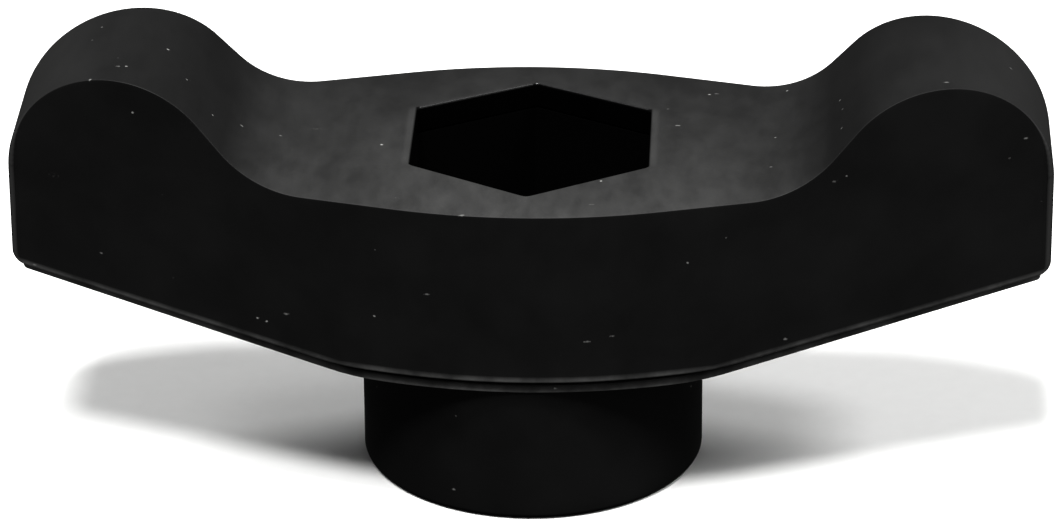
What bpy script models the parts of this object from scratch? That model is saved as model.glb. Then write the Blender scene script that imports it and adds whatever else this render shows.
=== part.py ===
"""Oil filter wrench: a winged hand grip with a hexagon socket right through it.

Two black mouldings close round a hexagon drive bush. The upper shell is the grip, with its flat top, two
upturned lobes and deep skirt. The base cover closes the skirt from below and carries the round collar that
the wrench stands on. Six screws from below hold the two together.

Metres, +Z up. The origin is on the socket's axis, at the foot of the collar, and +X runs along the grip.
"""

import math

import bmesh
import bpy
from mathutils import Matrix, Vector

MM = 0.001

# The grip, seen from the side
LENGTH = 120.3 * MM
TOP_HEIGHT = 39.5 * MM
CREST_HEIGHT = 51.0 * MM
LOBE_RADIUS = 13.0 * MM
HOLLOW_RADIUS = 12.4 * MM
WING_RISE = math.radians(49.1)
SKIRT_HEIGHT = 18.75 * MM
SKIRT_CORNER = 1.6 * MM
KEEL_RISE = math.radians(11.6)
KEEL_START = 21.4 * MM
KEEL_RADIUS = 30.0 * MM

# The grip, seen from above
DEPTH = 42.1 * MM
TIP_DEPTH = 14.0 * MM
TAPER = math.radians(15.0)
TIP_CORNER = 0.9 * MM

# The hollow inside the upper shell
WALL = 2.6 * MM
ROOF = 3.0 * MM
RIB = 2.2 * MM
SPINE_ENDS = (24.2 * MM, 58.5 * MM)
CROSS_RIBS = (29.0 * MM, 36.5 * MM, 43.5 * MM)

# The base cover
FIT = 0.3 * MM
LIP_DROP = 1.8 * MM
LIP_INSET = 0.7 * MM
LIP_TIP_INSET = 1.7 * MM
LIP_END_INSET = 1.8 * MM
TONGUE_TOP = 3.2 * MM
TONGUE_OVERLAP = 0.7 * MM
REBATE = 2.3 * MM
COLLAR_RADIUS = 20.0 * MM
COLLAR_ROUND = 0.8 * MM

# The hexagon drive bush
HEX_FLATS = 27.3 * MM
HEX_LEAD = 0.9 * MM
BUSH_RADIUS = 17.5 * MM
BUSH_RECESS = 0.6 * MM
LUG_REACH = 23.5 * MM
LUG_WIDTH = 12.0 * MM
LUG_SPAN = (21.2 * MM, 29.5 * MM)

# The cover screws
SCREW_ROOT = (29.0 * MM, 8.0 * MM)
SCREW_TIP = 50.5 * MM
SHANK_RADIUS = 1.5 * MM
SHANK_LENGTH = 12.0 * MM
POINT_LENGTH = 2.0 * MM
HEAD_RADIUS = 3.0 * MM
HEAD_HEIGHT = 2.0 * MM
HEAD_RIM = 0.7 * MM
CROSS_LENGTH = 3.4 * MM
CROSS_WIDTH = 0.8 * MM
CROSS_DEPTH = 1.1 * MM
SEAT_RISE = 3.4 * MM
PAD_RISE = 6.0 * MM
PAD_RADIUS = 4.4 * MM
BOSS_RADIUS = 4.0 * MM

# What the driving sizes lead to
HALF_LENGTH = LENGTH / 2
LIP_HEIGHT = SKIRT_HEIGHT - LIP_DROP
LIP_THICKNESS = LIP_DROP - FIT
BUSH_TOP = TOP_HEIGHT - ROOF - FIT
BORE_RADIUS = BUSH_RADIUS + FIT
RIB_START = BUSH_RADIUS + 2 * FIT
APEX = TIP_DEPTH / 2 + HALF_LENGTH * math.tan(TAPER)
HUB_RADIUS = (APEX - DEPTH / 2) / (1 / math.cos(TAPER) - 1)
SCREW_PLACES = [
    (side * x, y)
    for side in (-1, 1)
    for x, y in ((SCREW_ROOT[0], -SCREW_ROOT[1]), SCREW_ROOT, (SCREW_TIP, 0.0))
]

# Facets and helpers
ARC_STEP = math.radians(7.5)
ROUND_SIDES = 72
SMALL_SIDES = 20
PAST = 60.0 * MM
WELD = 0.001 * MM
SMOOTH_BELOW = math.radians(20)
PARTS = "oil_filter_wrench"
CUTTERS = "cutters"


def new_scene():
    """An empty scene with one collection for the parts, one for the cutters and the wrench's origin."""
    for obj in list(bpy.data.objects):
        bpy.data.objects.remove(obj, do_unlink=True)
    for name in (PARTS, CUTTERS):
        bpy.context.scene.collection.children.link(bpy.data.collections.new(name))
    origin = bpy.data.objects.new("wrench_origin", None)
    bpy.data.collections[PARTS].objects.link(origin)
    return origin


def finish(name, colour, roughness, metallic):
    """A Principled material with one colour, roughness and metallic value."""
    material = bpy.data.materials.new(name)
    material.use_nodes = True
    shader = material.node_tree.nodes["Principled BSDF"]
    shader.inputs["Base Color"].default_value = (*colour, 1.0)
    shader.inputs["Roughness"].default_value = roughness
    shader.inputs["Metallic"].default_value = metallic
    return material


def part(name, mesh, material, origin):
    """A piece of the wrench."""
    mesh.materials.clear()
    mesh.materials.append(material)
    mesh.shade_smooth()
    mesh.set_sharp_from_angle(angle=SMOOTH_BELOW)
    obj = bpy.data.objects.new(name, mesh)
    obj.parent = origin
    bpy.data.collections[PARTS].objects.link(obj)
    return obj


def cutter(name, mesh):
    """A helper solid, which shapes the parts and isn't one."""
    obj = bpy.data.objects.new(name, mesh)
    obj.hide_render = True
    obj.display_type = "WIRE"
    bpy.data.collections[CUTTERS].objects.link(obj)
    return obj


def combine(target, operation, *tools):
    """Boolean modifiers on target, one for each tool, in order."""
    for tool in tools:
        modifier = target.modifiers.new(f"{operation.lower()} {tool.name}", "BOOLEAN")
        modifier.operation = operation
        modifier.solver = "EXACT"
        modifier.object = tool
    return target


def evaluated_mesh(obj):
    """A mesh of an object as its modifiers leave it, welded and facing out."""
    bpy.context.view_layer.update()
    graph = bpy.context.evaluated_depsgraph_get()
    mesh = bpy.data.meshes.new_from_object(obj.evaluated_get(graph))
    shape = bmesh.new()
    shape.from_mesh(mesh)
    bmesh.ops.remove_doubles(shape, verts=shape.verts, dist=WELD)
    bmesh.ops.recalc_face_normals(shape, faces=shape.faces)
    shape.to_mesh(mesh)
    shape.free()
    return mesh


def mesh_of_guide(name, data, modify=None):
    """The evaluated mesh of a curve or profile, whose own object is removed again."""
    guide = cutter(name, data)
    if modify:
        modify(guide)
    mesh = evaluated_mesh(guide)
    bpy.data.objects.remove(guide, do_unlink=True)
    return mesh


def rounded(corners):
    """A closed outline through corners (u, v, radius), each turned into an arc of its radius."""
    points = []
    for i, (u, v, radius) in enumerate(corners):
        here = Vector((u, v))
        if radius == 0:
            points.append(here)
            continue
        back = (Vector(corners[i - 1][:2]) - here).normalized()
        ahead = (Vector(corners[(i + 1) % len(corners)][:2]) - here).normalized()
        half = back.angle(ahead) / 2
        centre = here + (back + ahead).normalized() * radius / math.sin(half)
        start = here + back * radius / math.tan(half) - centre
        turn = math.copysign(math.pi - 2 * half, -back.cross(ahead))
        steps = max(2, round(abs(turn) / ARC_STEP))
        points += [centre + Matrix.Rotation(turn * step / steps, 2) @ start for step in range(steps + 1)]
    return points


def prism(name, outline, half=PAST, upright=False):
    """The outline carried half each way: along Z or, where it is a side view, upright along Y."""
    curve = bpy.data.curves.new(name, "CURVE")
    curve.dimensions = "2D"
    curve.fill_mode = "BOTH"
    curve.extrude = half
    spline = curve.splines.new("POLY")
    spline.points.add(len(outline) - 1)
    for point, (u, v) in zip(spline.points, outline):
        point.co = (u, v, 0, 1)
    spline.use_cyclic_u = True
    mesh = mesh_of_guide(name, curve)
    if upright:
        mesh.transform(Matrix.Rotation(math.pi / 2, 4, "X"))
    return mesh


def turned(name, profile, sides):
    """A solid turned about Z from (radius, z) points that run down its outer side, axis to axis."""

    def lathe(guide):
        modifier = guide.modifiers.new("lathe", "SCREW")
        modifier.steps = sides
        modifier.render_steps = sides
        modifier.use_merge_vertices = True
        modifier.merge_threshold = WELD

    mesh = bpy.data.meshes.new(name)
    edges = [(i, i + 1) for i in range(len(profile) - 1)]
    mesh.from_pydata([(radius, 0, z) for radius, z in profile], edges, [])
    return mesh_of_guide(name, mesh, lathe)


def cones(name, places, sides=SMALL_SIDES):
    """One mesh of separate upright cones, each (x, y, low radius, high radius, low z, high z)."""
    mesh = bpy.data.meshes.new(name)
    shape = bmesh.new()
    for x, y, low_radius, high_radius, low, high in places:
        bmesh.ops.create_cone(
            shape,
            cap_ends=True,
            segments=sides,
            radius1=low_radius,
            radius2=high_radius,
            depth=high - low,
            matrix=Matrix.Translation((x, y, (low + high) / 2)),
        )
    shape.to_mesh(mesh)
    shape.free()
    return mesh


def boxes(name, spans):
    """One mesh of separate boxes, each ((x, x), (y, y), (z, z))."""
    mesh = bpy.data.meshes.new(name)
    shape = bmesh.new()
    for span in spans:
        middle = [sum(ends) / 2 for ends in span]
        sides = [abs(ends[1] - ends[0]) for ends in span]
        place = Matrix.Translation(middle) @ Matrix.Diagonal((*sides, 1.0))
        bmesh.ops.create_cube(shape, size=1.0, matrix=place)
    shape.to_mesh(mesh)
    shape.free()
    return mesh


def keel(x, base):
    """Height of a wing's underside at x, from its height at the hub."""
    return base + max(abs(x) - KEEL_START, 0) * math.tan(KEEL_RISE)


def grip_profile(inset=0.0, base=SKIRT_HEIGHT):
    """Side view of the grip from its lower edge at base over the lobes, drawn in by inset."""
    end = HALF_LENGTH - inset
    top = TOP_HEIGHT - inset
    lobe = LOBE_RADIUS - inset
    lobe_rise = CREST_HEIGHT - LOBE_RADIUS + lobe / math.cos(WING_RISE) - top
    hollow_x = HALF_LENGTH - LOBE_RADIUS - lobe_rise / math.tan(WING_RISE)
    peak = top + (end - hollow_x) * math.tan(WING_RISE)
    right = [
        (KEEL_START, base, KEEL_RADIUS),
        (end, keel(end, base), SKIRT_CORNER),
        (end, peak, lobe),
        (hollow_x, top, HOLLOW_RADIUS + inset),
    ]
    return rounded(right + [(-x, z, radius) for x, z, radius in reversed(right)])


def keel_band(base, top):
    """Side view of a band that follows the wings' underside, from base to top at the hub."""
    right = [
        (KEEL_START, base, KEEL_RADIUS),
        (HALF_LENGTH, keel(HALF_LENGTH, base), 0),
        (HALF_LENGTH, keel(HALF_LENGTH, top), 0),
        (KEEL_START, top, KEEL_RADIUS),
    ]
    return rounded(right + [(-x, z, radius) for x, z, radius in reversed(right)])


def grip_plan(inset=0.0, tip_inset=0.0, end_inset=0.0):
    """Plan of the grip, drawn in by inset at the hub, tip_inset at the tips' sides and end_inset at the ends."""
    end = HALF_LENGTH - end_inset
    apex = APEX - inset / math.cos(TAPER)
    tip_y = APEX - tip_inset / math.cos(TAPER) - end * math.tan(TAPER)
    half = [(end, -tip_y, TIP_CORNER), (end, tip_y, TIP_CORNER), (0, apex, HUB_RADIUS - inset)]
    return rounded(half + [(-x, -y, radius) for x, y, radius in half])


def screw_seat(x):
    """Height of the face under a cover screw's head."""
    return keel(x, LIP_HEIGHT) + SEAT_RISE


def on_screws(name, radius, low, high):
    """A cutter with a cylinder on each screw's axis, from low to high above the screw's seat."""
    places = [(x, y, radius, radius, screw_seat(x) + low, screw_seat(x) + high) for x, y in SCREW_PLACES]
    return cutter(name, cones(name, places))


def hexagon(name, low, high):
    """A cutter for the socket, with two of its flats square to X."""
    corner = HEX_FLATS / math.sqrt(3)
    return cutter(name, cones(name, [(0, 0, corner, corner, low, high)], sides=6))


def rib_cutters():
    """What stays of the upper shell inside its hollow: spines, cheeks beside the lugs, cross ribs and bosses."""
    spines, cheeks, crossing = [], [], []
    all_heights = (-PAST, PAST)
    for side in (-1, 1):
        spine = (side * SPINE_ENDS[0], side * SPINE_ENDS[1])
        spines.append((spine, (-RIB / 2, RIB / 2), all_heights))
        cheek_length = (side * RIB_START, side * CROSS_RIBS[0])
        for front in (-1, 1):
            near = LUG_WIDTH / 2 + FIT
            cheeks.append((cheek_length, (front * near, front * (near + RIB)), all_heights))
        for x in CROSS_RIBS:
            crossing.append(((side * x - RIB / 2, side * x + RIB / 2), (-DEPTH, DEPTH), all_heights))
    hold_downs = [
        ((side * RIB_START, side * (SPINE_ENDS[0] + RIB)), (-RIB / 2, RIB / 2), (LUG_SPAN[1] + FIT, PAST))
        for side in (-1, 1)
    ]
    sets = {"spines": spines, "lug_cheeks": cheeks, "cross_ribs": crossing, "hold_downs": hold_downs}
    ribs = [cutter(name, boxes(name, spans)) for name, spans in sets.items()]
    return [*ribs, on_screws("screw_bosses", BOSS_RADIUS, -PAST, PAST)]


def upper_shell(material, origin):
    """The grip: a ribbed hollow moulding, open below, with a hexagon window in its flat top."""
    hollow = cutter("hollow", prism("hollow", grip_profile(ROOF, base=0.0), DEPTH, upright=True))
    hollow_plan = cutter("hollow_plan", prism("hollow_plan", grip_plan(WALL, WALL, ROOF)))
    combine(hollow, "INTERSECT", hollow_plan)
    combine(hollow, "DIFFERENCE", *rib_cutters())

    rebate_top = LIP_HEIGHT + TONGUE_TOP + FIT
    rebate = cutter("rebate", prism("rebate", keel_band(0.0, rebate_top), DEPTH, upright=True))
    rebate_plan = cutter("rebate_plan", prism("rebate_plan", grip_plan(REBATE, REBATE, REBATE)))
    combine(rebate, "INTERSECT", rebate_plan)

    shell = part("upper_shell", prism("upper_shell", grip_profile(), DEPTH, upright=True), material, origin)
    combine(shell, "INTERSECT", cutter("shell_plan", prism("shell_plan", grip_plan())))
    combine(
        shell,
        "DIFFERENCE",
        hollow,
        rebate,
        on_screws("pad_clearance", PAD_RADIUS + FIT, -PAST / 2, PAD_RISE - SEAT_RISE + FIT),
        on_screws("pilot_holes", SHANK_RADIUS + FIT, 0.0, SHANK_LENGTH + 2 * FIT),
        hexagon("window", BUSH_TOP - FIT, PAST),
    )
    return shell


def base_cover(material, origin):
    """The cover under the grip: a stepped plate along the keel, with the collar and six screw seats."""
    tongue_low = LIP_HEIGHT + TONGUE_OVERLAP
    tongue_high = LIP_HEIGHT + TONGUE_TOP
    tongue = cutter("tongue", prism("tongue", keel_band(tongue_low, tongue_high), DEPTH, upright=True))
    tongue_inset = REBATE + FIT
    tongue_plan = grip_plan(tongue_inset, tongue_inset, tongue_inset)
    combine(tongue, "INTERSECT", cutter("tongue_plan", prism("tongue_plan", tongue_plan)))

    lip_round = [
        (COLLAR_RADIUS - COLLAR_ROUND * (1 - math.cos(angle)), COLLAR_ROUND * (1 - math.sin(angle)))
        for angle in (math.radians(step) for step in range(0, 91, 30))
    ]
    collar_top = LIP_HEIGHT + LIP_THICKNESS / 2
    collar_profile = [(0, collar_top), (COLLAR_RADIUS, collar_top), *lip_round, (0, 0)]
    collar = cutter("collar", turned("collar", collar_profile, ROUND_SIDES))
    bore_span = (-PAST, PAST)
    bore = cutter("bore", cones("bore", [(0, 0, BORE_RADIUS, BORE_RADIUS, *bore_span)], ROUND_SIDES))

    plate = prism("base_cover", keel_band(LIP_HEIGHT, LIP_HEIGHT + LIP_THICKNESS), DEPTH, upright=True)
    lip_plan = grip_plan(LIP_INSET, LIP_TIP_INSET, LIP_END_INSET)
    cover = part("base_cover", plate, material, origin)
    combine(cover, "INTERSECT", cutter("lip_plan", prism("lip_plan", lip_plan)))
    pads = on_screws("screw_pads", PAD_RADIUS, -SEAT_RISE + LIP_DROP, PAD_RISE - SEAT_RISE)
    wells = on_screws("head_wells", HEAD_RADIUS + FIT, -PAST / 2, 0.0)
    shank_holes = on_screws("shank_holes", SHANK_RADIUS + FIT, -PAST / 2, PAST / 2)
    combine(cover, "UNION", tongue, pads)
    combine(cover, "DIFFERENCE", wells, shank_holes)
    combine(cover, "UNION", collar)
    combine(cover, "DIFFERENCE", bore)
    return cover


def hex_bush(material, origin):
    """The drive bush: a hexagon socket with two lugs that the grip's ribs drive."""
    bush = part(
        "hex_bush",
        cones("hex_bush", [(0, 0, BUSH_RADIUS, BUSH_RADIUS, BUSH_RECESS, BUSH_TOP)], ROUND_SIDES),
        material,
        origin,
    )
    lug_span = ((-LUG_REACH, LUG_REACH), (-LUG_WIDTH / 2, LUG_WIDTH / 2), LUG_SPAN)
    combine(bush, "UNION", cutter("lugs", boxes("lugs", [lug_span])))
    corner = HEX_FLATS / math.sqrt(3)
    lead_high = BUSH_RECESS + HEX_LEAD
    lead = cones("lead_in", [(0, 0, corner + 2 * HEX_LEAD, corner, BUSH_RECESS - HEX_LEAD, lead_high)], sides=6)
    combine(bush, "DIFFERENCE", hexagon("socket", -PAST, PAST), cutter("lead_in", lead))
    return bush


def screw_mesh():
    """A pan head self-tapping screw, point up, with a cross recess under its head and its seat at z = 0."""
    dome = HEAD_HEIGHT - HEAD_RIM
    profile = [
        (0, SHANK_LENGTH),
        (SHANK_RADIUS, SHANK_LENGTH - POINT_LENGTH),
        (SHANK_RADIUS, 0),
        (HEAD_RADIUS, 0),
        *(
            (HEAD_RADIUS * math.cos(angle), -HEAD_RIM - dome * math.sin(angle))
            for angle in (math.radians(step) for step in range(0, 90, 22))
        ),
        (0, -HEAD_HEIGHT),
    ]
    reach = CROSS_LENGTH / 2
    slot = CROSS_WIDTH / 2
    depth = (-2 * HEAD_HEIGHT, -HEAD_HEIGHT + CROSS_DEPTH)
    slot_along = cutter("slot_along", boxes("slot_along", [((-reach, reach), (-slot, slot), depth)]))
    slot_across = cutter("slot_across", boxes("slot_across", [((-slot, slot), (-reach, reach), depth)]))
    blank = turned("screw_blank", profile, SMALL_SIDES)
    return mesh_of_guide(
        "screw_blank", blank, lambda guide: combine(guide, "DIFFERENCE", slot_along, slot_across)
    )


def cover_screws(material, origin):
    """The six screws, each in its own place under the cover."""
    shared = screw_mesh()
    for number, (x, y) in enumerate(SCREW_PLACES, 1):
        screw = part(f"cover_screw_{number}", shared, material, origin)
        screw.location = (x, y, screw_seat(x) - FIT)


def main():
    origin = new_scene()
    moulded = finish("black moulded nylon", (0.012, 0.012, 0.012), 0.6, 0.0)
    phosphated = finish("black phosphated steel", (0.02, 0.02, 0.021), 0.55, 0.9)
    zinc = finish("black zinc screw steel", (0.03, 0.03, 0.032), 0.4, 0.9)
    upper_shell(moulded, origin)
    base_cover(moulded, origin)
    hex_bush(phosphated, origin)
    cover_screws(zinc, origin)


main()
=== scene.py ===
"""Looks of an oil filter wrench: a black winged grip with a hexagon socket right through it.

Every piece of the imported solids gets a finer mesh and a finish: the grip moulding and the cover moulding in
black nylon, the drive bush in phosphated steel and six pan head screws in black zinc.

Metres, +Z up. The origin is on the socket's axis, at the foot of the collar, and +X runs along the grip.
"""

import logging
import math
from collections.abc import Callable, Iterable, Sequence
from dataclasses import dataclass
from enum import Enum
from functools import cached_property, partial

import bmesh
import bpy
from bpy.types import Material, Mesh, Node, NodeTree
from bpy.types import NodeSocket as Socket
from mathutils import Matrix, Vector


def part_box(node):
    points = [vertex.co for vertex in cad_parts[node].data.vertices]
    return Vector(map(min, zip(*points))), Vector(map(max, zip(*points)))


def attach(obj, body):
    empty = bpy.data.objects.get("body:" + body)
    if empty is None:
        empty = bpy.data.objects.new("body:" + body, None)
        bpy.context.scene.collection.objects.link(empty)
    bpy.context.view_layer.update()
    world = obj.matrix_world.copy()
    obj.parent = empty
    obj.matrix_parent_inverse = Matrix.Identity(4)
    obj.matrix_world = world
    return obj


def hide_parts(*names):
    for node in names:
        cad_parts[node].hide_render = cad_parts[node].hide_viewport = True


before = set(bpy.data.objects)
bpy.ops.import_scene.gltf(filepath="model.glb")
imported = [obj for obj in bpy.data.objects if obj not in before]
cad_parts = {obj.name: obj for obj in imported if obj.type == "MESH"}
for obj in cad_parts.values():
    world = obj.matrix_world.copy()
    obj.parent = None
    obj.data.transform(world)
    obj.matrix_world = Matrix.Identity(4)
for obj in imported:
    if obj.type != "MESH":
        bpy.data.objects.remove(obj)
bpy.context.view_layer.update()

LOG = logging.getLogger("oil_filter_wrench")
MM = 0.001

# Facets of the fine meshes
ARC_STEP = math.radians(3.0)
ROUND_SIDES = 192
SMALL_SIDES = 40
LONGEST_FACE = 2.0 * MM
WELD = 0.0005 * MM
SHARP_ABOVE = math.radians(28)

# Reach of the solids that cut right through a piece
PAST = 60.0 * MM

# Ranges that several patterns share
RISING = (0.0, 1.0)
FALLING = (1.0, 0.0)
NOISE_MIDDLE = (0.3, 0.7)

Outline = list[Vector]
Span = tuple[float, float]
Corner = tuple[float, float, float]


class Operation(Enum):
    """What a Boolean does with its second solid."""

    JOIN = "UNION"
    CUT = "DIFFERENCE"
    KEEP = "INTERSECT"


class Body(Enum):
    """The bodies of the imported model. The wrench is rigid, so there is one."""

    WRENCH = "root"


class Slot(Enum):
    """The material slots."""

    NYLON = "grip_nylon"
    BUSH = "bush_steel"
    SCREW = "screw_steel"


# Colours and nodes


def linear(hex_colour: str) -> tuple[float, float, float, float]:
    """Turns an sRGB hex value into linear RGBA.

    Args:
        hex_colour: The colour as "#rrggbb".

    Returns:
        Linear red, green and blue, with an alpha of one.
    """
    channels = [int(hex_colour[i : i + 2], 16) / 255 for i in (1, 3, 5)]
    red, green, blue = (c / 12.92 if c <= 0.04045 else ((c + 0.055) / 1.055) ** 2.4 for c in channels)
    return red, green, blue, 1.0


def per_metre(millimetres: float) -> float:
    """The texture scale whose features are that many millimetres across."""
    return 1.0 / (millimetres * MM)


def add_node(
    tree: NodeTree, kind: str, inputs: dict[str | int, object] | None = None, **settings: object
) -> Node:
    """Adds a node with its settings, values and links.

    Args:
        tree: The node tree to add to.
        kind: The node's type name.
        inputs: Values or output sockets for its inputs, by name or number.
        **settings: Properties of the node itself.

    Returns:
        The new node.
    """
    node = tree.nodes.new(kind)
    for key, value in settings.items():
        setattr(node, key, value)
    for key, value in (inputs or {}).items():
        if isinstance(value, Socket):
            tree.links.new(value, node.inputs[key])
        else:
            node.inputs[key].default_value = value
    return node


def remap(tree: NodeTree, value: Socket, source: Span, target: Span) -> Socket:
    """Adds a node that carries a value from the source range to the target range and holds it there."""
    ends = {1: source[0], 2: source[1], 3: target[0], 4: target[1]}
    return add_node(tree, "ShaderNodeMapRange", {"Value": value, **ends}).outputs["Result"]


def compute(tree: NodeTree, operation: str, first: Socket | float, *others: Socket | float) -> Socket:
    """Adds nodes that carry an operation on through several values.

    Args:
        tree: The node tree to add to.
        operation: The operation's name.
        first: The value to start from.
        *others: The values that follow.

    Returns:
        The result.
    """
    result = first
    for other in others:
        node = add_node(tree, "ShaderNodeMath", {0: result, 1: other}, operation=operation)
        result = node.outputs["Value"]
    return result


def noise(tree: NodeTree, place: Socket, size_mm: float, detail: float, roughness: float = 0.5) -> Socket:
    """Adds a noise with features of about that many millimetres."""
    inputs = {"Vector": place, "Scale": per_metre(size_mm), "Detail": detail, "Roughness": roughness}
    return add_node(tree, "ShaderNodeTexNoise", inputs).outputs["Fac"]


def blend(tree: NodeTree, share: Socket, first: object, second: object) -> Socket:
    """Adds a mix of two colours, by the share of the second."""
    inputs = {"Factor": share, 6: first, 7: second}
    return add_node(tree, "ShaderNodeMix", inputs, data_type="RGBA").outputs[2]


@dataclass(frozen=True)
class Surface:
    """A new material with a Principled shader, and the coordinates that its patterns are drawn in."""

    material: Material
    tree: NodeTree
    shader: Node
    place: Socket
    geometry: Node

    @classmethod
    def new(cls, name: str, metallic: float = 0.0, ior: float = 1.5) -> "Surface":
        """Makes the material.

        Args:
            name: The material's name.
            metallic: Its metallic value.
            ior: Its index of refraction.

        Returns:
            The material with its tree, shader, object coordinates and geometry node.
        """
        material = bpy.data.materials.new(name)
        material.use_nodes = True
        tree = material.node_tree
        shader = tree.nodes["Principled BSDF"]
        shader.inputs["Metallic"].default_value = metallic
        shader.inputs["IOR"].default_value = ior
        place = add_node(tree, "ShaderNodeTexCoord").outputs["Object"]
        return cls(material, tree, shader, place, add_node(tree, "ShaderNodeNewGeometry"))

    @property
    def normal(self) -> Socket:
        """The direction that the surface faces."""
        return self.geometry.outputs["Normal"]

    def axes(self, vector: Socket) -> tuple[Socket, ...]:
        """The X, Y and Z of a vector."""
        return tuple(add_node(self.tree, "ShaderNodeSeparateXYZ", {"Vector": vector}).outputs)

    def size(self, value: Socket) -> Socket:
        """A value without its sign."""
        return compute(self.tree, "ABSOLUTE", value, 0.0)

    def set(self, socket: str, value: Socket) -> None:
        """Links a value to one of the shader's sockets."""
        self.tree.links.new(value, self.shader.inputs[socket])

    def edges(self, reach: Span, most: float) -> Socket:
        """How much the convex edges are rubbed, from zero on a face to most on an edge."""
        return remap(self.tree, self.geometry.outputs["Pointiness"], reach, (0.0, most))

    def bump(self, height: Socket, depth: float, strength: float) -> None:
        """Roughens the surface by a height pattern."""
        inputs = {"Strength": strength, "Distance": depth, "Height": height}
        self.set("Normal", add_node(self.tree, "ShaderNodeBump", inputs).outputs["Normal"])


# Finishes


@dataclass(frozen=True)
class Fleck:
    """A kind of speck on a surface: how far apart, how big, how stretched, how turned and how plain."""

    apart_mm: float
    radius_mm: float
    stretch: float
    turn: float
    share: float


@dataclass(frozen=True)
class EdgeWearAndHighlight:
    """A worn lower edge with a painted highlight: how far up it fades out, and the film at the edge."""

    reach: float
    share: float


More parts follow.
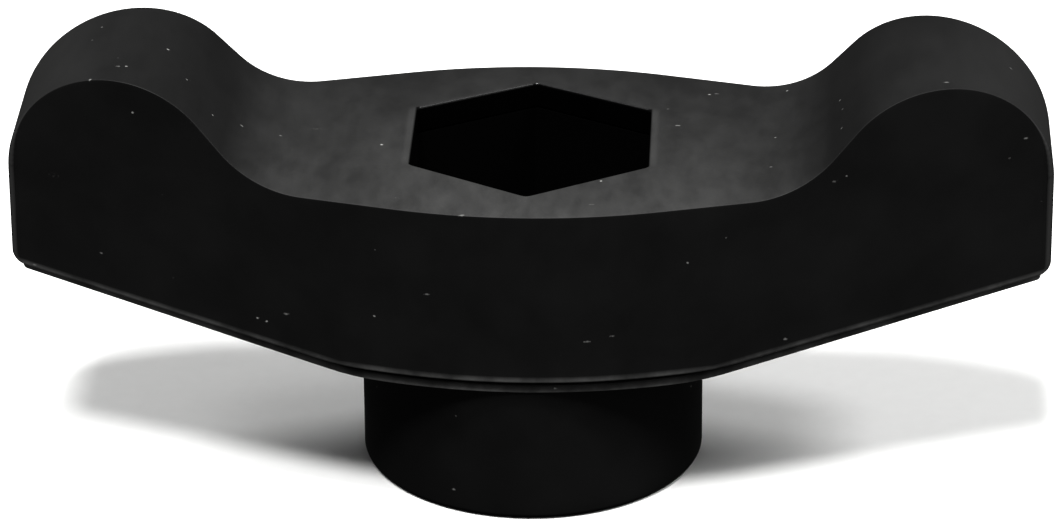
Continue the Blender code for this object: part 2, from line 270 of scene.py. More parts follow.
@dataclass(frozen=True)
class MouldedNylon:
    """Glass-filled nylon, injection moulded in a spark-eroded tool and used in a workshop.

    To the eye it is a matte near-black. Dust, rubbing and a painted sheen grey the top, in cloudy patches,
    the sheen painted lighter at the front. The lower edges are worn paler with a painted highlight along
    them, the tips carry painted highlights, and the rims beside the hexagon window's left and right sides are
    rubbed paler. The window's walls are painted near black as shade, and a haze fades out down the collar,
    painting it darker as shade. White specks, short fibres and a few pale marks lie on the nylon.
    """

    name: str = "moulded black nylon"
    pigment: str = "#070707"
    shade: str = "#010101"
    # The pale film of dust and rubbing, also used for the painted sheen and painted highlights
    film: str = "#6a6a69"
    lint: str = "#d8d8d4"
    # Nylon's own IOR is about 1.53. A lower one gives the dull sheen of this skin.
    ior: float = 1.27
    roughness: Span = (0.5, 0.64)

    # Dust and a painted sheen on what faces up, the sheen painted lighter at the front, and the haze
    # on the sides, faded out down the collar as painted shade
    film_share: float = 0.08
    film_tilt: Span = (0.1, 0.95)
    film_heights: Span = (39.7 * MM, 43.5 * MM)
    lobe_share: float = 0.22
    haze_share: float = 0.005
    haze_and_collar_shade_heights: Span = (9.0 * MM, 18.0 * MM)
    # Painted light: the sheen is painted stronger at the front than at the back
    painted_light_front_to_back: Span = (1.75, 0.4)
    half_depth: float = 21.0 * MM
    hub_to_wing: Span = (1.08, 0.76)
    wing_reach: Span = (8.0 * MM, 27.0 * MM)

    # Patches in the film, drawn out across the grip
    drawn_out: float = 2.2
    cloud_mm: float = 9.0
    mottle_mm: float = 2.2
    patch_source: Span = (0.75, 1.25)
    patch_gain: Span = (0.65, 1.35)

    # Worn lower edges with a painted highlight along them, painted highlights on the ends and the tips'
    # upright edges, and rubbing beside the window
    skirt_wear_and_highlight: EdgeWearAndHighlight = EdgeWearAndHighlight(reach=0.85 * MM, share=0.36)
    lip_wear_and_highlight: EdgeWearAndHighlight = EdgeWearAndHighlight(reach=1.0 * MM, share=0.4)
    edge_blur: Span = (-0.1 * MM, 0.05 * MM)
    outward_tilt: Span = (0.4, 0.7)
    end_highlight_share: float = 0.06
    end_tilt: Span = (0.1, 0.3)
    end_reach: Span = (49.0 * MM, 59.0 * MM)
    tip_edge_highlight_share: float = 0.14
    tip_edge_bend: Span = (0.3, 0.48)
    window_share: float = 0.05
    window_tilt: Span = (0.3, 0.8)
    window_side: Span = (14.35 * MM, 14.8 * MM)
    window_reach: Span = (7.0 * MM, 8.4 * MM)

    # The window's walls: painted shade blackens them, and oil makes them smoother
    oiled: float = 0.4
    window_wall: Span = (13.72 * MM, 13.9 * MM)
    window_slant: float = math.pi / 3

    # Spark erosion leaves pits of about 0.05 mm, drawn at 0.35 mm so that they show.
    pit_mm: float = 0.35
    pit_depth: float = 0.012 * MM
    pit_strength: float = 0.5

    # Specks, fibres and marks, with ragged outlines
    ragged_mm: float = 0.25
    ragged_gain: Span = (0.7, 1.4)
    fleck_core: float = 0.3
    flecks: tuple[Fleck, ...] = (
        Fleck(apart_mm=4.0, radius_mm=0.16, stretch=1.3, turn=0.3, share=0.34),
        Fleck(apart_mm=4.2, radius_mm=0.17, stretch=3.4, turn=0.7, share=0.22),
        Fleck(apart_mm=4.0, radius_mm=0.16, stretch=2.4, turn=2.4, share=0.18),
        Fleck(apart_mm=9.0, radius_mm=0.5, stretch=2.6, turn=2.1, share=0.05),
    )

    def material(self, form: "GripForm") -> Material:
        """Builds the node material.

        Args:
            form: The grip's form, for the heights of the worn lower edges.

        Returns:
            The material.
        """
        surface = Surface.new(self.name, ior=self.ior)
        tree = surface.tree
        scale = (1.0, 1.0 / self.drawn_out, 1.0)
        stretch = add_node(tree, "ShaderNodeMapping", {"Vector": surface.place, "Scale": scale})
        wiped = stretch.outputs["Vector"]
        cloud = noise(tree, wiped, self.cloud_mm, detail=4.0)
        mottle = noise(tree, wiped, self.mottle_mm, detail=5.0, roughness=0.6)
        patches = remap(tree, compute(tree, "ADD", mottle, cloud), self.patch_source, self.patch_gain)
        greyed = blend(tree, self._film(surface, patches, form), linear(self.pigment), linear(self.film))
        specked = blend(tree, self._lint(surface), greyed, linear(self.lint))
        # Painted shade: the window's walls are painted near black
        window_shade_mask = self._window_shade(surface)
        surface.set("Base Color", blend(tree, window_shade_mask, linear(self.shade), specked))
        matt = remap(tree, cloud, NOISE_MIDDLE, self.roughness)
        wet = remap(tree, window_shade_mask, RISING, (self.oiled, 1.0))
        surface.set("Roughness", compute(tree, "MULTIPLY", matt, wet))
        surface.bump(noise(tree, surface.place, self.pit_mm, detail=3.0), self.pit_depth, self.pit_strength)
        return surface.material

    def _film(self, surface: Surface, patches: Socket, form: "GripForm") -> Socket:
        """Adds how much dust, rubbing, painted sheen and painted highlights cover each point.

        A pattern of patches about one gathers them.
        """
        layers = self._dust_sheen_and_haze(surface, patches), self._rubbing_and_end_highlights(surface), self._worn_edges_and_highlights(surface, patches, form)
        return compute(surface.tree, "ADD", *layers)

    def _dust_sheen_and_haze(self, surface: Surface, patches: Socket) -> Socket:
        """Adds dust and a painted sheen on what faces up, and a haze above the collar.

        Both are less on the lobes and the wings. The sheen is painted lighter at the front than the back,
        and the haze fades out down the collar, painting it darker as shade.

        Args:
            surface: The material.
            patches: The pattern that gathers it.

        Returns:
            The film there.
        """
        tree = surface.tree
        x, y, z = surface.axes(surface.place)
        # Dust with a painted sheen, as from the lights above, on what faces up
        up_dust_and_sheen = remap(tree, surface.axes(surface.normal)[2], self.film_tilt, (0.0, self.film_share))
        on_lobes = remap(tree, z, self.film_heights, (1.0, self.lobe_share))
        # Painted light: lighter at the front than at the back
        across = remap(tree, y, (-self.half_depth, self.half_depth), self.painted_light_front_to_back)
        outward = remap(tree, surface.size(x), self.wing_reach, self.hub_to_wing)
        painted_sheen_and_dust = compute(tree, "MULTIPLY", up_dust_and_sheen, on_lobes, across, outward, patches)
        # A haze, faded out down the collar to paint it darker as shade
        haze_and_collar_shade = remap(tree, z, self.haze_and_collar_shade_heights, (0.0, self.haze_share))
        return compute(tree, "ADD", painted_sheen_and_dust, compute(tree, "MULTIPLY", patches, haze_and_collar_shade))

    def _rubbing_and_end_highlights(self, surface: Surface) -> Socket:
        """Adds rubbing beside the window and painted highlights on the ends and the tips' upright edges.

        Args:
            surface: The material.

        Returns:
            The film there.
        """
        tree = surface.tree
        from_axis, from_middle = (surface.size(axis) for axis in surface.axes(surface.place)[:2])
        lengthways, sideways, up = surface.axes(surface.normal)
        beside = remap(tree, from_axis, self.window_side, FALLING)
        along = remap(tree, from_middle, self.window_reach, FALLING)
        raised = remap(tree, up, self.window_tilt, (0.0, self.window_share))
        # Painted highlights: the sloping faces of the ends and the tips' upright edges are painted paler
        sloping = remap(tree, up, self.end_tilt, (0.0, self.end_highlight_share))
        bend = compute(tree, "MULTIPLY", surface.size(sideways), surface.size(lengthways))
        corner = remap(tree, bend, self.tip_edge_bend, (0.0, self.tip_edge_highlight_share))
        outermost = remap(tree, from_axis, self.end_reach, RISING)
        ends = compute(tree, "MULTIPLY", outermost, compute(tree, "ADD", sloping, corner))
        return compute(tree, "ADD", compute(tree, "MULTIPLY", beside, along, raised), ends)

    def _worn_edges_and_highlights(self, surface: Surface, patches: Socket, form: "GripForm") -> Socket:
        """Adds worn lower edges on the skirt and the lip, with a painted highlight, climbing along the wings.

        Args:
            surface: The material.
            patches: The pattern that breaks it up.
            form: The grip's form.

        Returns:
            The film that it leaves.
        """
        tree = surface.tree
        x, _, z = surface.axes(surface.place)
        from_axis = surface.size(x)
        lower_edges = (
            (form.skirt_start, form.skirt_height, self.skirt_wear_and_highlight),
            (form.keel_start, form.lip_height, self.lip_wear_and_highlight),
        )
        edge_wear_and_highlights = []
        # The lower edges are worn paler, and a painted highlight runs along them on what faces front or back
        for start, edge, amount in lower_edges:
            run = compute(tree, "MAXIMUM", compute(tree, "SUBTRACT", from_axis, start), 0.0)
            climb = compute(tree, "MULTIPLY", run, -math.tan(form.keel_rise))
            level = compute(tree, "ADD", z, climb)
            above = remap(tree, level, (edge + self.edge_blur[0], edge + self.edge_blur[1]), RISING)
            fading = remap(tree, level, (edge, edge + amount.reach), (amount.share, 0.0))
            edge_wear_and_highlights.append(compute(tree, "MULTIPLY", above, fading))
        sideways = surface.size(surface.axes(surface.normal)[1])
        exposed = remap(tree, sideways, self.outward_tilt, RISING)
        return compute(tree, "MULTIPLY", compute(tree, "ADD", *edge_wear_and_highlights), exposed, patches, patches)

    def _window_shade(self, surface: Surface) -> Socket:
        """Adds the painted shade that blackens the window's own walls.

        Args:
            surface: The material.

        Returns:
            Zero on the walls of the window and one everywhere else.
        """
        tree = surface.tree
        along, across = (surface.size(axis) for axis in surface.axes(surface.place)[:2])
        slanted = compute(
            tree,
            "ADD",
            compute(tree, "MULTIPLY", along, math.cos(self.window_slant)),
            compute(tree, "MULTIPLY", across, math.sin(self.window_slant)),
        )
        return remap(tree, compute(tree, "MAXIMUM", along, slanted), self.window_wall, RISING)

    def _lint(self, surface: Surface) -> Socket:
        """Adds specks of dust, short fibres and pale marks.

        Args:
            surface: The material.

        Returns:
            How much of each point they cover, from 0 to 1, with soft edges.
        """
        tree = surface.tree
        outline = noise(tree, surface.place, self.ragged_mm, detail=2.0)
        ragged = remap(tree, outline, NOISE_MIDDLE, self.ragged_gain)
        layers = []
        for fleck in self.flecks:
            cell = per_metre(fleck.apart_mm)
            inputs = {
                "Vector": surface.place,
                "Location": (fleck.turn, fleck.turn, fleck.turn),
                "Rotation": (fleck.turn, fleck.turn / 2, fleck.turn),
                "Scale": (cell / fleck.stretch, cell, cell),
            }
            turned_place = add_node(tree, "ShaderNodeMapping", inputs).outputs["Vector"]
            points = add_node(tree, "ShaderNodeTexVoronoi", {"Vector": turned_place, "Scale": 1.0})
            reach = fleck.radius_mm / fleck.apart_mm
            distance = compute(tree, "MULTIPLY", points.outputs["Distance"], ragged)
            layers.append(remap(tree, distance, (reach * self.fleck_core, reach), (fleck.share, 0.0)))
        return compute(tree, "MAXIMUM", *layers)


@dataclass(frozen=True)
class PhosphatedSteel:
    """Machined steel under a black manganese phosphate coat, oiled.

    To the eye it is a flat black with a fine crystalline grain, barely paler where its edges are rubbed.
    """

    name: str = "black phosphated steel"
    coat: str = "#010101"
    rubbed: str = "#040404"
    gloss: float = 0.08
    roughness: Span = (0.28, 0.36)
    # Phosphate crystals are about 0.01 mm, drawn at 0.3 mm so that they show.
    crystal_mm: float = 0.3
    crystal_depth: float = 0.01 * MM
    crystal_strength: float = 0.4
    rubbed_edges: Span = (0.51, 0.56)
    rubbed_share: float = 0.6

    def material(self) -> Material:
        """Builds the node material.

        Returns:
            The material.
        """
        surface = Surface.new(self.name)
        tree = surface.tree
        surface.shader.inputs["Specular IOR Level"].default_value = self.gloss
        crystals = noise(tree, surface.place, self.crystal_mm, detail=4.0)
        rubbing = surface.edges(self.rubbed_edges, self.rubbed_share)
        surface.set("Base Color", blend(tree, rubbing, linear(self.coat), linear(self.rubbed)))
        surface.set("Roughness", remap(tree, crystals, NOISE_MIDDLE, self.roughness))
        surface.bump(crystals, self.crystal_depth, self.crystal_strength)
        return surface.material


@dataclass(frozen=True)
class BlackZinc:
    """Screw steel, cold headed and rolled, with a black chromated zinc plate.

    To the eye it is a dark satin metal with faint cloudy staining, bright where a driver has rubbed it.
    """

    name: str = "black zinc plated steel"
    plate: str = "#333336"
    rubbed: str = "#8a8a8c"
    metallic: float = 1.0
    roughness: Span = (0.3, 0.46)
    stain_mm: float = 1.6
    rubbed_edges: Span = (0.54, 0.64)
    rubbed_share: float = 0.6

    def material(self) -> Material:
        """Builds the node material.

        Returns:
            The material.
        """
        surface = Surface.new(self.name, metallic=self.metallic)
        tree = surface.tree
        stain = noise(tree, surface.place, self.stain_mm, detail=5.0)
        rubbing = surface.edges(self.rubbed_edges, self.rubbed_share)
        surface.set("Base Color", blend(tree, rubbing, linear(self.plate), linear(self.rubbed)))
        surface.set("Roughness", remap(tree, stain, NOISE_MIDDLE, self.roughness))
        return surface.material


@dataclass(frozen=True)
class MattPaper:
    """Uncoated white paper, rolled out as a studio sweep: plain, pale and without gloss."""

    name: str = "matt white paper"
    tone: str = "#f4f4f3"
    fleck: str = "#efefee"
    roughness: float = 0.95
    fibre_mm: float = 2.0

    def material(self) -> Material:
        """Builds the node material.

        Returns:
            The material.
        """
        surface = Surface.new(self.name)
        tree = surface.tree
        fibres = noise(tree, surface.place, self.fibre_mm, detail=4.0)
        surface.set("Base Color", blend(tree, fibres, linear(self.tone), linear(self.fleck)))
        surface.shader.inputs["Roughness"].default_value = self.roughness
        surface.shader.inputs["Specular IOR Level"].default_value = 0.0
        return surface.material


# Shapes


def rounded(corners: Sequence[Corner]) -> Outline:
    """Draws a closed outline with arcs for corners.

    Args:
        corners: The corners as (u, v, radius), in order.

    Returns:
        The outline's points, in the same order.
    """
    points = []
    for i, (u, v, radius) in enumerate(corners):
        here = Vector((u, v))
        if radius == 0:
            points.append(here)
            continue
        back = (Vector(corners[i - 1][:2]) - here).normalized()
        ahead = (Vector(corners[(i + 1) % len(corners)][:2]) - here).normalized()
        half = back.angle(ahead) / 2
        centre = here + (back + ahead).normalized() * radius / math.sin(half)
        start = here + back * radius / math.tan(half) - centre
        turn = math.copysign(math.pi - 2 * half, -back.cross(ahead))
        steps = max(2, round(abs(turn) / ARC_STEP))
        points += [centre + Matrix.Rotation(turn * step / steps, 2) @ start for step in range(steps + 1)]
    return points


def mirrored(right: list[Corner]) -> Outline:
    """Draws a closed outline from the corners of its right half, bottom first, and their mirror image."""
    return rounded(right + [(-u, v, radius) for u, v, radius in reversed(right)])


def ring(outline: Outline, z: float) -> list[Vector]:
    """An outline's points in space, all at one height."""
    return [Vector((u, v, z)) for u, v in outline]


def quarter(start: float, end: float, steps: int) -> list[float]:
    """Evenly spaced angles from start to end, both included."""
    return [start + (end - start) * step / steps for step in range(steps + 1)]


def new_mesh(name: str, shape: bmesh.types.BMesh) -> Mesh:
    """Welds a shape, turns its faces out and frees it.

    Args:
        name: The mesh's name.
        shape: The shape to finish.

    Returns:
        The finished mesh.
    """
    bmesh.ops.remove_doubles(shape, verts=shape.verts, dist=WELD)
    bmesh.ops.recalc_face_normals(shape, faces=shape.faces)
    mesh = bpy.data.meshes.new(name)
    shape.to_mesh(mesh)
    shape.free()
    return mesh


def lofted(name: str, rings: Sequence[Sequence[Vector]]) -> Mesh:
    """Skins closed rings of equal count, one to the next, and caps both ends.

    Args:
        name: The mesh's name.
        rings: The rings' points in space, in order along the loft.

    Returns:
        A closed mesh.
    """
    shape = bmesh.new()
    loops = [[shape.verts.new(point) for point in points] for points in rings]
    for low, high in zip(loops, loops[1:]):
        for i in range(len(low)):
            shape.faces.new((low[i - 1], low[i], high[i], high[i - 1]))
    shape.faces.new(loops[0])
    shape.faces.new(loops[-1])
    return new_mesh(name, shape)


def plan_prism(name: str, outline: Outline) -> Mesh:
    """Carries an outline in XY right through the wrench, from below it to above it."""
    return lofted(name, [ring(outline, z) for z in (-PAST, PAST)])


def side_prism(name: str, outline: Outline, reach: float) -> Mesh:
    """Carries an outline in XZ to reach on both sides of Y = 0."""
    return lofted(name, [[Vector((u, y, v)) for u, v in outline] for y in (-reach, reach)])


def turned(name: str, profile: Sequence[Span], sides: int = ROUND_SIDES) -> Mesh:
    """Turns a profile about Z.

    Args:
        name: The mesh's name.
        profile: Points as (radius, z), from axis to axis for a closed mesh.
        sides: How many facets go round.

    Returns:
        The mesh.
    """
    shape = bmesh.new()
    verts = [shape.verts.new((radius, 0, z)) for radius, z in profile]
    edges = [shape.edges.new(pair) for pair in zip(verts, verts[1:])]
    about_z = {"axis": (0, 0, 1), "cent": (0, 0, 0), "angle": math.tau}
    bmesh.ops.spin(shape, geom=verts + edges, steps=sides, use_merge=True, **about_z)
    return new_mesh(name, shape)


def uprights(name: str, places: Iterable[tuple[float, float, float, float]], radius: float) -> Mesh:
    """Makes upright cylinders in one mesh.

    Args:
        name: The mesh's name.
        places: Each cylinder as (x, y, low z, high z).
        radius: Their radius.

    Returns:
        A mesh of separate cylinders.
    """
    shape = bmesh.new()
    round_form = {"cap_ends": True, "segments": SMALL_SIDES, "radius1": radius, "radius2": radius}
    for x, y, low, high in places:
        middle = Matrix.Translation((x, y, (low + high) / 2))
        bmesh.ops.create_cone(shape, depth=high - low, matrix=middle, **round_form)
    return new_mesh(name, shape)


def boxes(name: str, spans: Iterable[Sequence[Span]]) -> Mesh:
    """Makes boxes in one mesh.

    Args:
        name: The mesh's name.
        spans: Each box by its spans along X, Y and Z.

    Returns:
        A mesh of separate boxes.
    """
    shape = bmesh.new()
    for span in spans:
        middle = [sum(ends) / 2 for ends in span]
        sides = [abs(ends[1] - ends[0]) for ends in span]
        place = Matrix.Translation(middle) @ Matrix.Diagonal((*sides, 1.0))
        bmesh.ops.create_cube(shape, size=1.0, matrix=place)
    return new_mesh(name, shape)


def hexagon(flats: float, corner: float) -> Outline:
    """A hexagon with two flats square to X and its corners rounded.

    Args:
        flats: Its width across flats.
        corner: The radius of its corners.

    Returns:
        Its outline, counterclockwise.
    """
    reach = flats / math.sqrt(3)
    angles = [math.radians(30 + 60 * i) for i in range(6)]
    return rounded([(reach * math.cos(angle), reach * math.sin(angle), corner) for angle in angles])


def combine(mesh: Mesh, *steps: tuple[Operation, Mesh]) -> Mesh:
    """Applies Booleans to a mesh, in order, and removes what they used.

    Args:
        mesh: The solid to start from.
        *steps: Each operation with its second solid.

    Returns:
        The finished solid under the first one's name.
    """
    name = mesh.name
    made = [bpy.data.objects.new(name, mesh)]
    for operation, other in steps:
        tool = bpy.data.objects.new(other.name, other)
        made.append(tool)
        modifier = made[0].modifiers.new(other.name, "BOOLEAN")
        modifier.operation = operation.value
        modifier.solver = "EXACT"
        modifier.object = tool
    for obj in made:
        bpy.context.scene.collection.objects.link(obj)
    bpy.context.view_layer.update()
    graph = bpy.context.evaluated_depsgraph_get()
    result = bpy.data.meshes.new_from_object(made[0].evaluated_get(graph))
    used = [obj.data for obj in made]
    for obj in made:
        bpy.data.objects.remove(obj, do_unlink=True)
    for data in used:
        bpy.data.meshes.remove(data)
    result.name = name
    return result


def place_piece(name: str, mesh: Mesh, material: Material, node: str) -> None:
    """Puts a finished piece in the scene, in the place of a node.

    Args:
        name: The piece's name.
        mesh: Its mesh, already in place.
        material: Its finish.
        node: The node it replaces.
    """
    mesh.materials.clear()
    mesh.materials.append(material)
    mesh.shade_smooth()
    mesh.set_sharp_from_angle(angle=SHARP_ABOVE)
    piece = bpy.data.objects.new(name, mesh)
    bpy.context.scene.collection.objects.link(piece)
    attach(piece, Body.WRENCH.value)
    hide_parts(node)
    LOG.info("%s: %d faces in %s, for %s", name, len(mesh.polygons), material.name, node)


@dataclass(frozen=True)
class Slab:
    """A moulding given by its side view and its depth along X, with all its outer edges rounded.

    The side view's upper and lower edges are cut at the same stations along X, so that the walls are plain
    columns of quads, and each point of the side view carries a strip right across the moulding. The upright
    ends have a rounding of their own, and the lower edge's grows to it round the end corner. The upper
    edge's grows to it only close to the end. A lift, if there is one, raises what faces up.
    """

    side_view: Outline
    half_depth: Callable[[float], float]
    top_edge: float
    low_edge: float
    end_edge: float
    lift: Callable[[float, float], float] | None = None
    end_onset: int = 10
    arc_steps: int = 6
    rows: tuple[float, ...] = (0.015, 0.06, 0.2, 0.4, 0.6, 0.8, 0.94, 0.985)
    strips: tuple[float, ...] = (-0.98, -0.9, -0.7, -0.45, -0.15, 0.15, 0.45, 0.7, 0.9, 0.98)

    def mesh(self, name: str) -> Mesh:
        """Builds the closed mesh.

        Args:
            name: The mesh's name.

        Returns:
            The mesh.
        """
        lower, upper = self._stations()
        right = [lower[-1].lerp(upper[-1], row) for row in self.rows]
        left = [upper[0].lerp(lower[0], row) for row in self.rows]
        loop = [*lower, *right, *reversed(upper), *left]
        shape = bmesh.new()
        sections = [self._section(shape, loop, i) for i in range(len(loop))]
        for i, section in enumerate(sections):
            before = sections[i - 1]
            for j in range(len(section) - 1):
                shape.faces.new((before[j], section[j], section[j + 1], before[j + 1]))
        for side in (0, -1):
            self._wall(shape, [section[side] for section in sections], len(lower))
        return new_mesh(name, shape)

    def _stations(self) -> tuple[Outline, Outline]:
        """Cuts the side view's lower and upper edges at the same places along X.

        Returns:
            The lower and the upper edge, both from left to right, with as many points.
        """
        end = max(point.x for point in self.side_view) - WELD
        on_left = [point.x < -end for point in self.side_view]
        start = next(i for i, left in enumerate(on_left) if not left and on_left[i - 1]) - 1
        loop = [*self.side_view[start:], *self.side_view[:start]]
        on_right = [i for i, point in enumerate(loop) if point.x > end]
        lower = loop[: on_right[0] + 1]
        arrives = next(i for i in range(on_right[-1], len(loop)) if loop[i].x < -end)
        upper = loop[arrives : on_right[-1] - 1 : -1]
        places = sorted({round(point.x, 7) for point in upper + lower})
        spread = [places[0]]
        for left, right in zip(places, places[1:]):
            parts = math.ceil((right - left) / LONGEST_FACE)
            spread += [left + (right - left) * part / parts for part in range(1, parts + 1)]
        return self._at(lower, spread), self._at(upper, spread)

    @staticmethod
    def _at(edge: Outline, stations: Sequence[float]) -> Outline:
        """Finds an edge's points at stations along X.

        Args:
            edge: The edge, from left to right.
            stations: The stations, in the same order.

        Returns:
            A point for each station.
        """
        points = []
        i = 0
        for x in stations:
            while i < len(edge) - 2 and edge[i + 1].x < x:
                i += 1
            low, high = edge[i], edge[i + 1]
            share = (x - low.x) / (high.x - low.x) if high.x > low.x else 0.0
            points.append(low.lerp(high, min(max(share, 0.0), 1.0)))
        return points

    def _section(self, shape: bmesh.types.BMesh, loop: Outline, i: int) -> list[bmesh.types.BMVert]:
        """Adds the strip of points right across the moulding at one point of its side view.

        Args:
            shape: The shape to add to.
            loop: The side view, counterclockwise.
            i: The point's number.

        Returns:
            The points from the front wall to the back wall.
        """
        here = loop[i]
        along = (here - loop[i - 1]).normalized() + (loop[(i + 1) % len(loop)] - here).normalized()
        out = Vector((along.y, -along.x)).normalized()
        if out.y > 0:
            rim, upright = self.top_edge, abs(out.x) ** self.end_onset
        else:
            rim, upright = self.low_edge, abs(out.x)
        edge = rim + (self.end_edge - rim) * upright
        front = []
        for angle in quarter(math.pi / 2, 0.0, self.arc_steps):
            x, z = here - out * edge * (1 - math.cos(angle))
            front.append((x, self.half_depth(x) - edge * (1 - math.sin(angle)), z))
        flat = front[-1][1]
        across = [(here.x, flat * strip, here.y) for strip in self.strips]
        points = [(x, -y, z) for x, y, z in front] + across + list(reversed(front))
        if self.lift and out.y > 0:
            points = [(x, y, z + out.y * self.lift(x, y)) for x, y, z in points]
        return [shape.verts.new(point) for point in points]

    def _wall(self, shape: bmesh.types.BMesh, rim: list[bmesh.types.BMVert], stations: int) -> None:
        """Fills the front or back wall with columns of quads.

        Args:
            shape: The shape to add to.
            rim: The wall's rim, in the order of the side view's loop.
            stations: How many stations the lower and upper edges have.
        """
        rows = len(self.rows)
        lower = rim[:stations]
        right = rim[stations : stations + rows]
        upper = rim[stations + rows : 2 * stations + rows][::-1]
        left = rim[2 * stations + rows :][::-1]
        side = math.copysign(1.0, rim[0].co.y)
        columns = []
        for i in range(stations):
            if i == 0:
                inner = left
            elif i == stations - 1:
                inner = right
            else:
                inner = []
                for row in self.rows:
                    place = lower[i].co.lerp(upper[i].co, row)
                    inner.append(shape.verts.new((place.x, side * self.half_depth(place.x), place.z)))
            columns.append([lower[i], *inner, upper[i]])
        for before, after in zip(columns, columns[1:]):
            for j in range(rows + 1):
                shape.faces.new((before[j], after[j], after[j + 1], before[j + 1]))


# The form that the two mouldings share


@dataclass(frozen=True)
class GripForm:
    """The wing's side view and plan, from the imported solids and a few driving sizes."""

    top_height: float = 39.5 * MM
    crown: float = 0.7 * MM
    crown_drop: float = 0.34 * MM
    lobe_radius: float = 13.0 * MM
    hollow_radius: float = 12.4 * MM
    wing_rise: float = math.radians(49.1)
    skirt_corner: float = 1.6 * MM
    keel_rise: float = math.radians(11.6)
    keel_start: float = 19.94 * MM
    skirt_start: float = 21.4 * MM
    keel_radius: float = 30.0 * MM
    tip_depth: float = 14.0 * MM
    taper: float = math.radians(15.0)
    skirt_drop: float = 0.5 * MM
    lip_drop: float = 2.1 * MM
    fit: float = 0.3 * MM
    wall: float = 2.6 * MM
    roof: float = 3.0 * MM
    hex_flats: float = 27.3 * MM
    bush_radius: float = 17.5 * MM
    seat_rise: float = 3.4 * MM
    shank_radius: float = 1.5 * MM
    shank_length: float = 12.0 * MM
    pad_rise: float = 6.0 * MM
    pad_radius: float = 4.4 * MM
    rebate: float = 2.3 * MM
    tongue_top: float = 3.2 * MM
    screw_root: Span = (29.0 * MM, 8.0 * MM)
    screw_tip: float = 50.5 * MM

    @cached_property
    def half_length(self) -> float:
        """Half the grip's length."""
        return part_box("upper_shell")[1][0]

    @cached_property
    def crest_height(self) -> float:
        """Height of the lobes' crests."""
        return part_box("upper_shell")[1][2]

    @cached_property
    def solid_height(self) -> float:
        """Height of the solid skirt's lower edge at the hub."""
        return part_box("upper_shell")[0][2]

    @property
    def skirt_height(self) -> float:
        """Height of the skirt's lower edge at the hub, which is nearer to the lip than the solid's is."""
        return self.solid_height - self.skirt_drop

    @cached_property
    def depth(self) -> float:
        """Depth of the grip at the hub."""
        return 2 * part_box("upper_shell")[1][1]

    @cached_property
    def lip_height(self) -> float:
        """Height of the cover plate's underside at the hub."""
        return self.solid_height - self.lip_drop

    @cached_property
    def apex(self) -> float:
        """Where the plan's two straight sides would meet, over the hub."""
        return self.tip_depth / 2 + self.half_length * math.tan(self.taper)

    @cached_property
    def hub_radius(self) -> float:
        """Radius of the plan over the hub."""
        return (self.apex - self.depth / 2) / (1 / math.cos(self.taper) - 1)

    @cached_property
    def outer_depth(self) -> Callable[[float], float]:
        """The skirt's half depth as a function of x."""
        return self.half_depth()

    @property
    def screw_places(self) -> list[Span]:
        """The six screws' axes, three in each wing.

        Returns:
            Each as (x, y).
        """
        root_x, root_y = self.screw_root
        wing = ((root_x, -root_y), (root_x, root_y), (self.screw_tip, 0.0))
        return [(side * x, y) for side in (-1, 1) for x, y in wing]

    def keel(self, x: float, base: float) -> float:
        """Height of the cover's underside at x, from its height at the hub."""
        return base + max(abs(x) - self.keel_start, 0) * math.tan(self.keel_rise)

    def screw_seat(self, x: float) -> float:
        """Height of the face under a screw's head."""
        return self.keel(x, self.lip_height) + self.seat_rise

    def lift(self, x: float, y: float) -> float:
        """How much higher the crowned top is at a place than at its front and back edges."""
        return self.crown * (self.outer_depth(x) ** 2 - y**2) / (self.depth / 2) ** 2

    def profile(self, inset: float = 0.0, base: float | None = None, crowned: bool = False) -> Outline:
        """Draws the side view of the grip.

        Args:
            inset: How far its upper edge and ends are drawn in.
            base: Height of its lower edge at the hub, or None for the skirt's.
            crowned: Whether to draw the front edge of the crowned top, which is lower than the middle.

        Returns:
            The outline in XZ, counterclockwise.
        """
        low = self.skirt_height if base is None else base
        end = self.half_length - inset
        top = self.top_height - inset - (self.crown_drop if crowned else 0.0)
        lobe_x = self.half_length - self.lobe_radius
        crest = self.crest_height - (self.lift(lobe_x, 0.0) if crowned else 0.0)
        lobe = self.lobe_radius - inset
        lobe_rise = crest - self.lobe_radius + lobe / math.cos(self.wing_rise) - top
        hollow_x = lobe_x - lobe_rise / math.tan(self.wing_rise)
        peak = top + (end - hollow_x) * math.tan(self.wing_rise)
        right = [
            (self.skirt_start, low, self.keel_radius),
            (end, low + (end - self.skirt_start) * math.tan(self.keel_rise), self.skirt_corner),
            (end, peak, lobe),
            (hollow_x, top, self.hollow_radius + inset),
        ]
        return mirrored(right)

    def band(self, low: float, high: float, end: float, corners: Span = (0.0, 0.0)) -> Outline:
        """Draws the side view of a band that follows the wings' underside.

        Args:
            low: Height of its underside at the hub.
            high: Height of its top at the hub.
            end: How far it runs along X.
            corners: The radii of its lower and upper end corners.

        Returns:
            The outline in XZ, counterclockwise.
        """
        right = [
            (self.keel_start, low, self.keel_radius),
            (end, self.keel(end, low), corners[0]),
            (end, self.keel(end, high), corners[1]),
            (self.keel_start, high, self.keel_radius),
        ]
        return mirrored(right)

    def plan(self, inset: float) -> Outline:
        """Draws the plan of the grip.

        Args:
            inset: How far it is drawn in all round.

        Returns:
            The outline in XY, counterclockwise.
        """
        end = self.half_length - inset
        apex = self.apex - inset / math.cos(self.taper)
        tip = apex - end * math.tan(self.taper)
        corner = self.skirt_corner / 2
        half = [(end, -tip, corner), (end, tip, corner), (0, apex, self.hub_radius - inset)]
        return rounded(half + [(-x, -y, radius) for x, y, radius in half])

